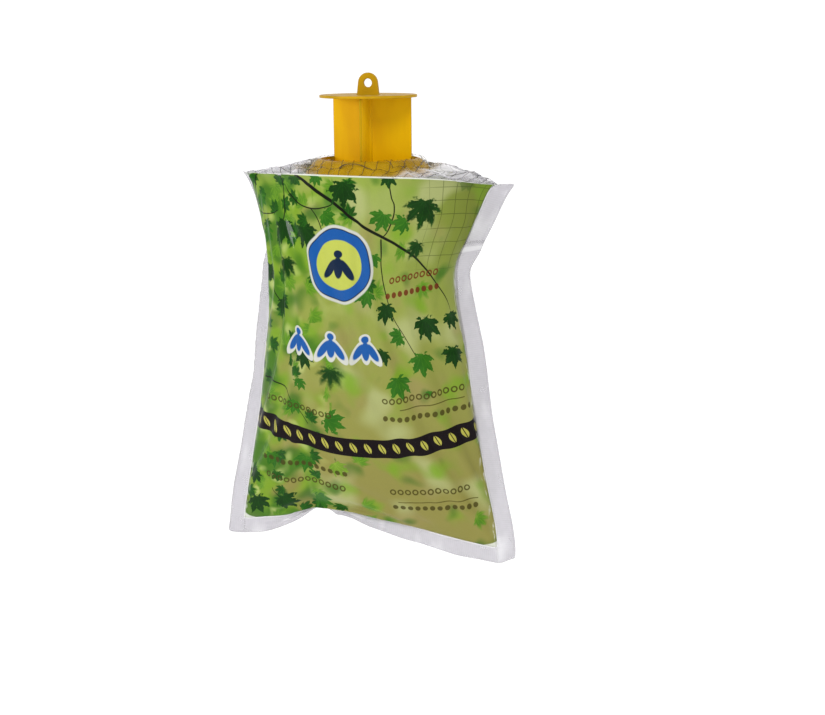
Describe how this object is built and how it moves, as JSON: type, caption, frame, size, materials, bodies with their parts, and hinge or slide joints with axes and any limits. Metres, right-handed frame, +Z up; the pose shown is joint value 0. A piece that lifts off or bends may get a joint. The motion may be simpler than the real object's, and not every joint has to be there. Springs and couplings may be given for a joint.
{
  "type": "hanging insect trap",
  "caption": "Disposable hanging bag trap for flying insects: a raised roof cap on vanes over a funnel, a collar and a puffed, heat-sealed film bag with a loose bait sachet.",
  "frame": {"origin": "centre of the hole in the hanging eye", "axes": "+Z up, -Y out of the bag's printed front, +X across the bag to the right as seen from the front"},
  "size_m": [0.2244, 0.096, 0.3541],
  "materials": {
    "yellow_plastic": "moulded yellow polypropylene, fine satin texture",
    "funnel_plastic": "thin translucent yellow polypropylene",
    "clear_film": "clear glossy film with a fine dark grid of lines",
    "printed_film": "glossy film printed with green leaves on a yellow-green ground",
    "weld_film": "clear lilac-grey double film, fine weld ribs",
    "sachet_film": "white water-soluble film",
    "bait": "fine tan powder"
  },
  "bodies": {
    "cap": {"roof_cap": "yellow_plastic", "vane_insert": "yellow_plastic", "entry_funnel": "funnel_plastic"},
    "bag": {"entry_collar": "yellow_plastic", "top_gusset": "clear_film", "front_panel": "printed_film", "back_panel": "printed_film", "left_side_seal": "weld_film", "right_side_seal": "weld_film", "bottom_seal": "weld_film"},
    "sachet": {"bait_sachet": "sachet_film", "bait_powder": "bait"}
  },
  "joints": [
    {"name": "cap_slide", "type": "slide", "parent": "cap", "child": "bag", "axis": [0, 0, 1], "range_m": [0, 0.0412]},
    {"name": "sachet_shift", "type": "slide", "parent": "bag", "child": "sachet", "axis": [1, 0, 0], "range_m": [-0.018, 0.018]}
  ]
}
